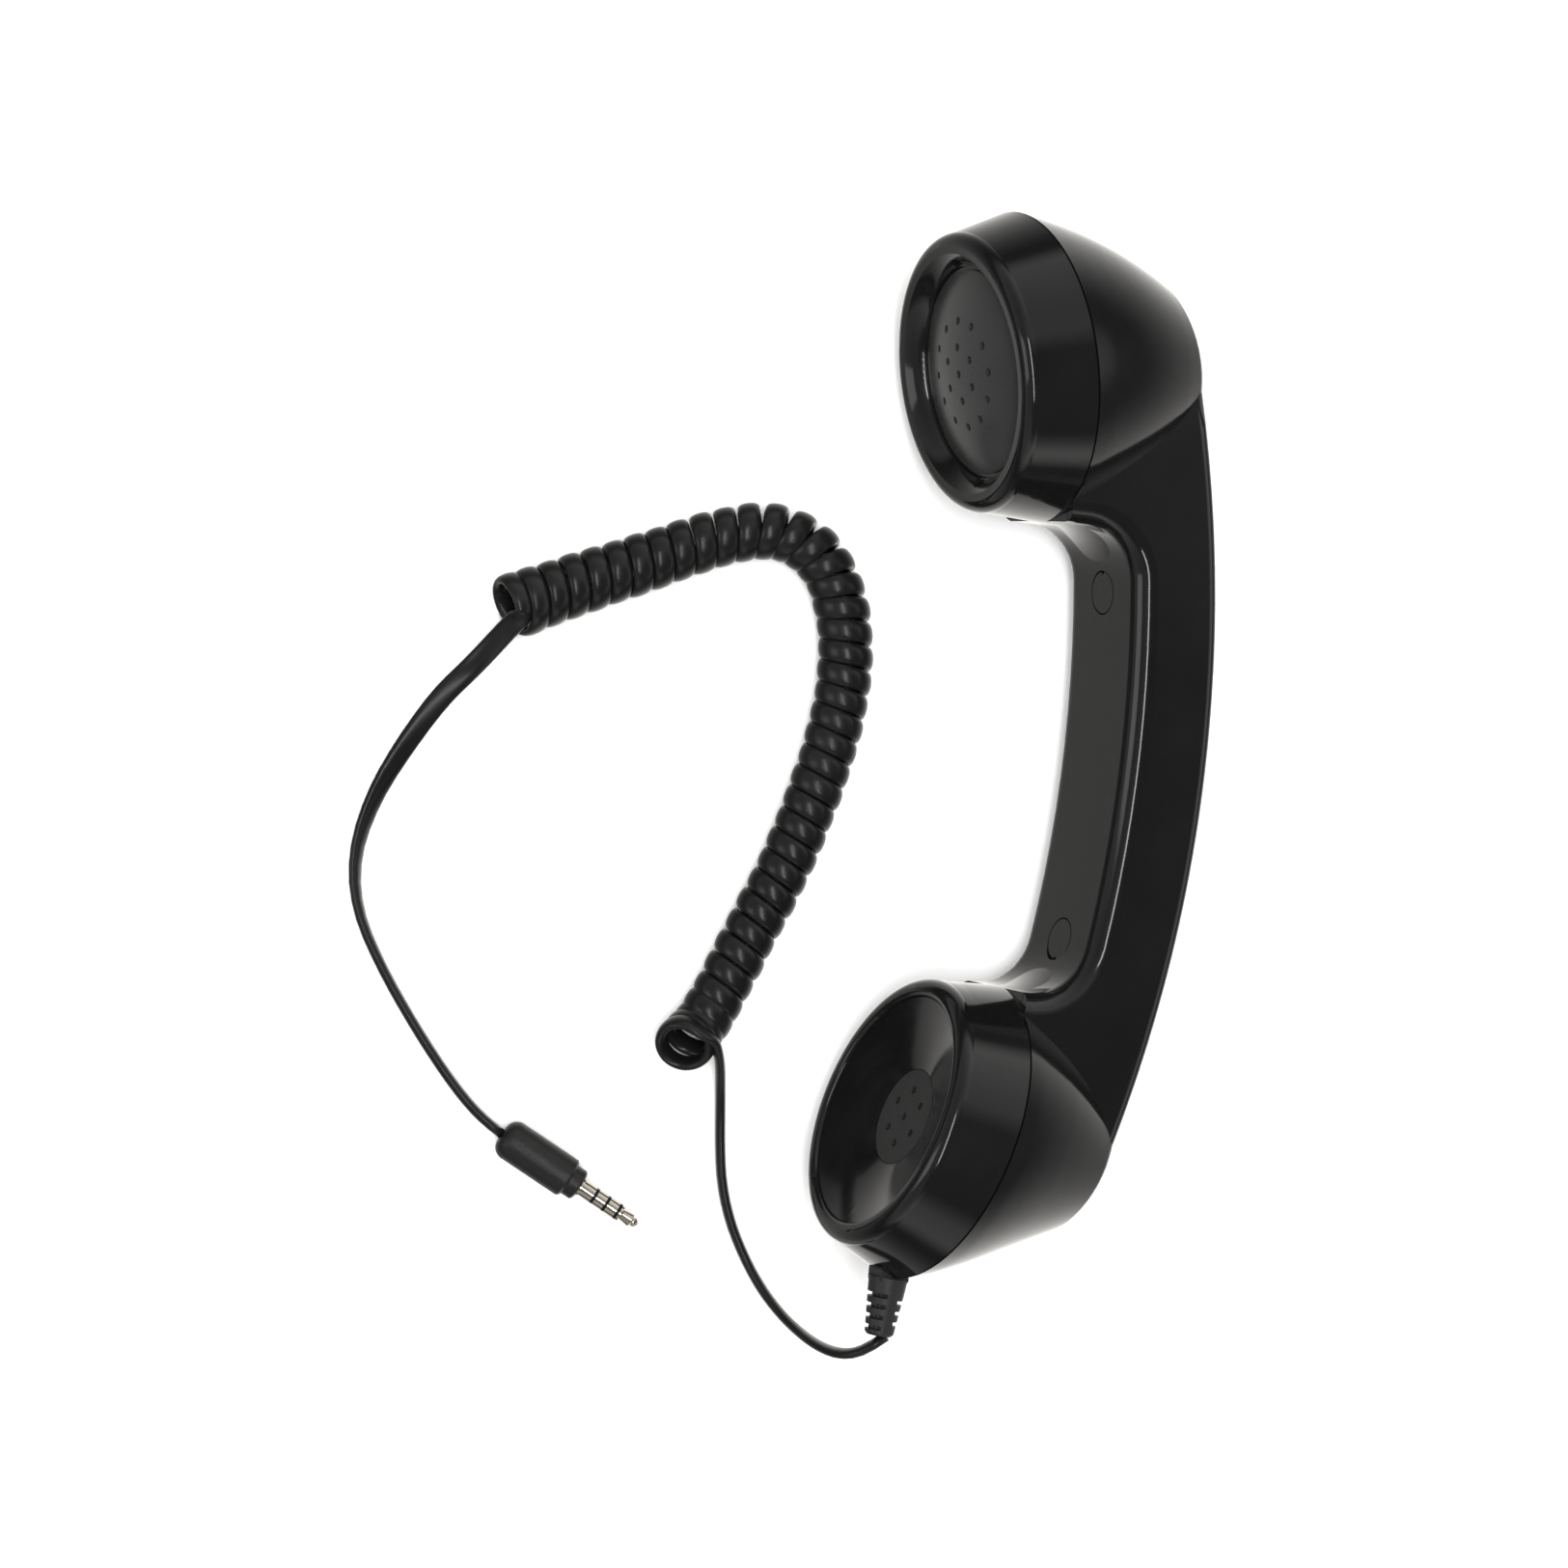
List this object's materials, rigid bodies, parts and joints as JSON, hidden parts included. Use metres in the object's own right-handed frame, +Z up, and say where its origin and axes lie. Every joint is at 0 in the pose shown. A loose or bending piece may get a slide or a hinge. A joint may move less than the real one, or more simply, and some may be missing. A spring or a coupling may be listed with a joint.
{
  "type": "telephone handset",
  "caption": "Retro telephone handset with a coiled cord and a small audio jack plug, lying on its side with the earpiece and mouthpiece turned half up.",
  "frame": {"origin": "on the surface it lies on, under the middle of the handset's box, without the free cord and its plug", "axes": "+Y along the handset from the mouthpiece to the earpiece; -X towards the side that the earpiece and mouthpiece face; +Z up"},
  "size_m": [0.1721, 0.2355, 0.0606],
  "materials": {
    "shell": "high gloss black ABS",
    "matte_black": "fine matte black plastic",
    "soft_rubber": "soft matte black elastomer",
    "cord_jacket": "smooth glossy black cord jacket",
    "nickel": "polished nickel plate, slightly warm",
    "steel": "zinc plated",
    "weight_iron": "bare cast",
    "ferrite": "ground ferrite",
    "copper": "enamelled wire",
    "cone_film": "thin film",
    "foam": "closed-cell foam",
    "board": "solder mask",
    "wire_red": "insulation",
    "wire_blue": "insulation"
  },
  "bodies": {
    "handset": {"back_shell": "shell", "grip_panel": "shell", "earpiece_cap": "shell", "mouthpiece_cap": "shell", "earpiece_grille": "shell", "mouthpiece_funnel": "shell", "mouthpiece_grille": "matte_black", "screw_cover_upper": "shell", "screw_cover_lower": "shell", "grip_screws": "steel", "handle_weight": "weight_iron", "weight_screws": "steel", "speaker_gasket": "foam", "speaker_frame": "matte_black", "speaker_yoke": "steel", "speaker_magnet": "ferrite", "speaker_top_plate": "steel", "speaker_retainer": "matte_black", "speaker_screws": "steel", "microphone_boot": "soft_rubber", "microphone_capsule": "steel", "junction_board": "board", "board_screws": "steel", "microphone_wires": "wire_blue", "speaker_wires": "wire_red", "cord_tail": "cord_jacket", "strain_relief": "soft_rubber", "cord_lead_handset": "cord_jacket", "cord_coil": "cord_jacket", "cord_lead_plug": "cord_jacket", "plug_body": "soft_rubber", "plug_collar": "soft_rubber", "plug_sleeve": "nickel", "plug_ring_inner": "nickel", "plug_ring_outer": "nickel", "plug_tip": "nickel", "plug_insulators": "matte_black"},
    "speaker_cone": {"speaker_diaphragm": "cone_film", "voice_coil": "copper"}
  },
  "joints": [
    {"name": "speaker_travel", "type": "slide", "parent": "handset", "child": "speaker_cone", "axis": [-0.9124, -0.2284, 0.3396], "range_m": [-0.0004, 0.0004], "stiffness_N_per_m": 500}
  ]
}
